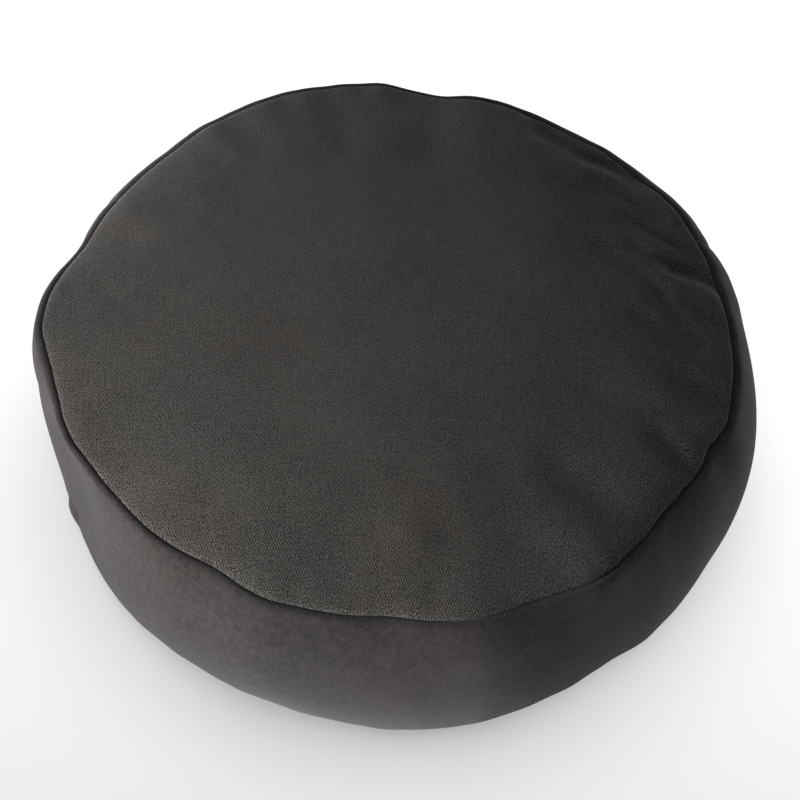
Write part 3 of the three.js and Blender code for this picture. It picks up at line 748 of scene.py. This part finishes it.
row_angle = 360 - 2 * (JOIN + ROW_END)
row_stitches = round(math.radians(row_angle) * ROW_RADIUS / (STITCH + STITCH_GAP))
for name, height in (("zip_topstitch_upper", ROW_ABOVE), ("zip_topstitch_lower", ROW_BELOW)):
    deselect()
    first = math.radians(JOIN + ROW_END)
    place = (ROW_RADIUS * math.sin(first), -ROW_RADIUS * math.cos(first), height)
    bpy.ops.mesh.primitive_uv_sphere_add(
        segments=8, ring_count=6, radius=1, location=place, rotation=(0, 0, first)
    )
    row = bpy.context.object
    row.scale = (STITCH / 2, STITCH_RISE, STITCH_THICK)
    row.name = row.data.name = name + "_stitches"
    bpy.ops.object.transform_apply(location=True, rotation=True, scale=True)
    edit_verts(row, lambda co: True)
    repeat_round(row_angle, row_stitches)
    bpy.ops.object.mode_set(mode="OBJECT")
    dress(row, grey_thread)
    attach(row, "cushion")
    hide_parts(name)


# ---- Zip tapes, coils and stops -----------------------------------------------------------------
# The tapes are woven polyester. Each coil is a nylon thread wound into hooks, sewn along the tape's
# edge, and the two coils' hooks lie between one another. Metal clips end the run of the slider.
TOOTH_PITCH = 0.00155
TOOTH_SIZE = (0.00056, 0.0021, 0.0030)  # of the bar: along the zip, outwards and upwards
TOOTH_SHIFT = 0.0016  # from the zip's middle line to the middle of a bar
COIL_RADIUS = 0.2108  # to the middle of a tooth
COIL_START, COIL_END = 123.6, 246.1  # degrees from the front, anticlockwise from above


def tape_finish():
    finish, wire, sockets = new_finish("zip_tape_weave", 0.85, specular=0.3)
    place = wire.node("ShaderNodeTexCoord", out=3)
    ribs = wire.node("ShaderNodeTexWave", {"Vector": place, "Scale": 330.0}, bands_direction="Z")
    tone = ribs * 0.5 + noise_at(place, 1200.0) * 0.5
    plug(blend_colours(tone, (0.012, 0.012, 0.012), (0.034, 0.033, 0.033)), sockets["Base Color"])
    raised(wire, ribs, 0.5, 0.0002, sockets["Normal"])
    return finish


def nylon_finish():
    finish, wire, sockets = new_finish("zip_nylon", 0.38, specular=0.5)
    place = wire.node("ShaderNodeTexCoord", out=3)
    rubbed = noise_at(place, 700.0, 3.0)
    plug(blend_colours(rubbed, (0.014, 0.014, 0.014), (0.040, 0.039, 0.038)), sockets["Base Color"])
    raised(wire, rubbed, 0.2, 0.0001, sockets["Normal"])
    return finish


def metal_finish():
    finish, wire, sockets = new_finish("zip_gunmetal", 0.34, metal=1.0)
    place = wire.node("ShaderNodeTexCoord", out=3)
    grain = noise_at(place, 900.0, 3.0)
    worn = noise_at(place, 160.0, 4.0, 0.6)
    plug(blend_colours(worn, (0.16, 0.155, 0.15), (0.34, 0.33, 0.32)), sockets["Base Color"])
    plug(0.26 + worn * 0.22, sockets["Roughness"])
    raised(wire, grain, 0.15, 0.00006, sockets["Normal"])
    return finish


zip_tape = tape_finish()
for name in ("zip_tape_upper", "zip_tape_lower"):
    dress(frame["nodes"][name], zip_tape, carried=True)

# One hook of a coil: a narrow bar off the tape, with a wider head that catches behind its neighbours.
nylon = nylon_finish()
teeth = round(math.radians(COIL_END - COIL_START) * COIL_RADIUS / TOOTH_PITCH)
half_pitch = (COIL_END - COIL_START) / (teeth - 1) / 2
for name, up, first_angle in (
    ("zip_coil_upper", 1, COIL_START),
    ("zip_coil_lower", -1, COIL_START + half_pitch),
):
    deselect()
    first = math.radians(first_angle)
    place = (COIL_RADIUS * math.sin(first), -COIL_RADIUS * math.cos(first), MIDDLE + TOOTH_SHIFT * up)
    bpy.ops.mesh.primitive_cube_add(size=1, location=(0, 0, 0))
    coil = bpy.context.object
    coil.name = coil.data.name = name + "_teeth"
    coil.scale = TOOTH_SIZE
    bpy.ops.object.transform_apply(location=True, rotation=True, scale=True)
    edit_verts(coil, lambda co: co.z * up < -0.001)
    bpy.ops.transform.resize(value=(1.25, 0.92, 1), center_override=(0, 0, 0))
    bpy.ops.mesh.extrude_region_move(TRANSFORM_OT_translate={"value": (0, 0, -0.00035 * up)})
    bpy.ops.transform.resize(value=(1.55, 1, 1), center_override=(0, 0, 0))
    bpy.ops.mesh.extrude_region_move(TRANSFORM_OT_translate={"value": (0, 0, -0.0005 * up)})
    bpy.ops.transform.resize(value=(0.7, 0.8, 1), center_override=(0, 0, 0))
    bpy.ops.mesh.select_all(action="SELECT")
    bpy.ops.mesh.bevel(offset=0.00016, segments=1, affect="EDGES")
    bpy.ops.object.mode_set(mode="OBJECT")
    coil.location, coil.rotation_euler = place, (0, 0, first)
    pick(coil)
    bpy.ops.object.transform_apply(location=True, rotation=True, scale=True)
    edit_verts(coil, lambda co: True)
    repeat_round(COIL_END - COIL_START - 2 * half_pitch, teeth - 1)
    bpy.ops.object.mode_set(mode="OBJECT")
    dress(coil, nylon)
    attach(coil, "cushion")
    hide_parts(name)

gunmetal = metal_finish()


def cast_copy(node, name, rounding, body):
    """A copy of a metal node with its edges rounded, as a casting has."""
    copy = frame["nodes"][node].copy()
    copy.data = copy.data.copy()
    copy.name = copy.data.name = name
    for key in list(copy.keys()):
        del copy[key]
    bpy.context.scene.collection.objects.link(copy)
    copy.parent = None
    edit_verts(copy, lambda co: True)
    bpy.ops.mesh.remove_doubles(threshold=0.000002)
    bpy.ops.mesh.normals_make_consistent(inside=False)
    bpy.ops.mesh.dissolve_limited(angle_limit=math.radians(1))
    bpy.ops.object.mode_set(mode="OBJECT")
    edges = copy.modifiers.new("Bevel", "BEVEL")
    edges.width, edges.segments = rounding, 3
    edges.limit_method, edges.angle_limit = "ANGLE", math.radians(35)
    bpy.ops.object.modifier_apply(modifier="Bevel")
    bpy.ops.object.shade_smooth_by_angle(angle=math.radians(40))
    copy.data.materials.clear()
    copy.data.materials.append(gunmetal)
    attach(copy, body)
    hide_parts(node)


for node in ("zip_top_stop_upper", "zip_top_stop_lower", "zip_bottom_stop"):
    cast_copy(node, node + "_clip", 0.0002, "cushion")


# ---- Zip slider and pull ------------------------------------------------------------------------
# A die-cast slider runs on the coils, and its pull swings on a post on the slider's front plate.
# Both have rounded edges and a dark gunmetal plating that is worn a little brighter.
cast_copy("zip_slider", "zip_slider_casting", 0.00025, "slider")
cast_copy("zip_pull", "zip_pull_casting", 0.00025, "pull")


# ---- Studio -------------------------------------------------------------------------------------
# A pale paper floor, a broad low light from the left and a pale room. The low light leaves the floor
# out, so that only a soft shade lies round the cushion. The paper also glows by itself, a painted
# light, and its glow fades towards the front, a painted shade.
deselect()
bpy.ops.mesh.primitive_plane_add(size=14)
paper = bpy.context.object
paper.name = "studio_floor"
finish, wire, sockets = new_finish("studio_paper", 0.9, specular=0.1)
place = wire.node("ShaderNodeTexCoord", out=3)
plug(blend_colours(noise_at(place, 3.0), (0.80, 0.80, 0.80), (0.82, 0.82, 0.82)), sockets["Base Color"])
# Painted light and shade: the paper's glow is brightest at the back and dimmer towards the front.
depth = wire.node("ShaderNodeSeparateXYZ", {0: place}, out=1)
painted_glow_to_back = (depth * 2.7 + 0.87).within(0.0, 1.0)
plug(blend_colours(painted_glow_to_back, (0.21, 0.21, 0.21), (0.56, 0.56, 0.56)), sockets["Emission Color"])
sockets["Emission Strength"].default_value = 1.0
dress(paper, finish)

room = bpy.data.worlds.new("studio_room")
bpy.context.scene.world = room
room.use_nodes = True
room.node_tree.nodes["Background"].inputs["Color"].default_value = (0.47, 0.47, 0.47, 1)


def soft_light(name, azimuth, elevation, distance, size, watts, on_paper):
    """A square light aimed at the middle, for either the paper alone or all but the paper."""
    lamp = bpy.data.objects.new(name, bpy.data.lights.new(name, "AREA"))
    bpy.context.scene.collection.objects.link(lamp)
    lamp.data.energy, lamp.data.size = watts, size
    around, height = math.radians(azimuth), math.radians(elevation)
    level = math.cos(height)
    way = Vector((math.sin(around) * level, -math.cos(around) * level, math.sin(height)))
    aimed = way.to_track_quat("Z", "Y").to_matrix().to_4x4()
    lamp.matrix_world = Matrix.Translation(way * distance) @ aimed
    lit = bpy.data.collections.new(name + "_receivers")
    lit.objects.link(paper)
    lamp.light_linking.receiver_collection = lit
    lit.collection_objects[0].light_linking.link_state = "INCLUDE" if on_paper else "EXCLUDE"


soft_light("low_light", -55, 15, 2.0, 0.9, 135, on_paper=False)
soft_light("paper_light", 180, 88, 2.2, 2.4, 19, on_paper=True)

VIEW_TILT, VIEW_ROLL = 38, 3.9  # degrees from straight down, and round the line of sight
VIEW_CENTRE, VIEW_SHIFT = (0, 0, 0.106), (0.0018, -0.0316, 0)
VIEW_DISTANCE = 4.2
eye = bpy.data.objects.new("camera", bpy.data.cameras.new("camera"))
bpy.context.scene.collection.objects.link(eye)
turn = Matrix.Rotation(math.radians(VIEW_TILT), 4, "X") @ Matrix.Rotation(math.radians(VIEW_ROLL), 4, "Z")
aim = Vector(VIEW_CENTRE) + turn.to_3x3() @ Vector(VIEW_SHIFT)
eye.matrix_world = Matrix.Translation(aim + turn.to_3x3() @ Vector((0, 0, VIEW_DISTANCE))) @ turn
eye.data.lens = 327
eye.data.clip_end = 50
bpy.context.scene.camera = eye
bpy.context.scene.view_settings.view_transform = "Standard"
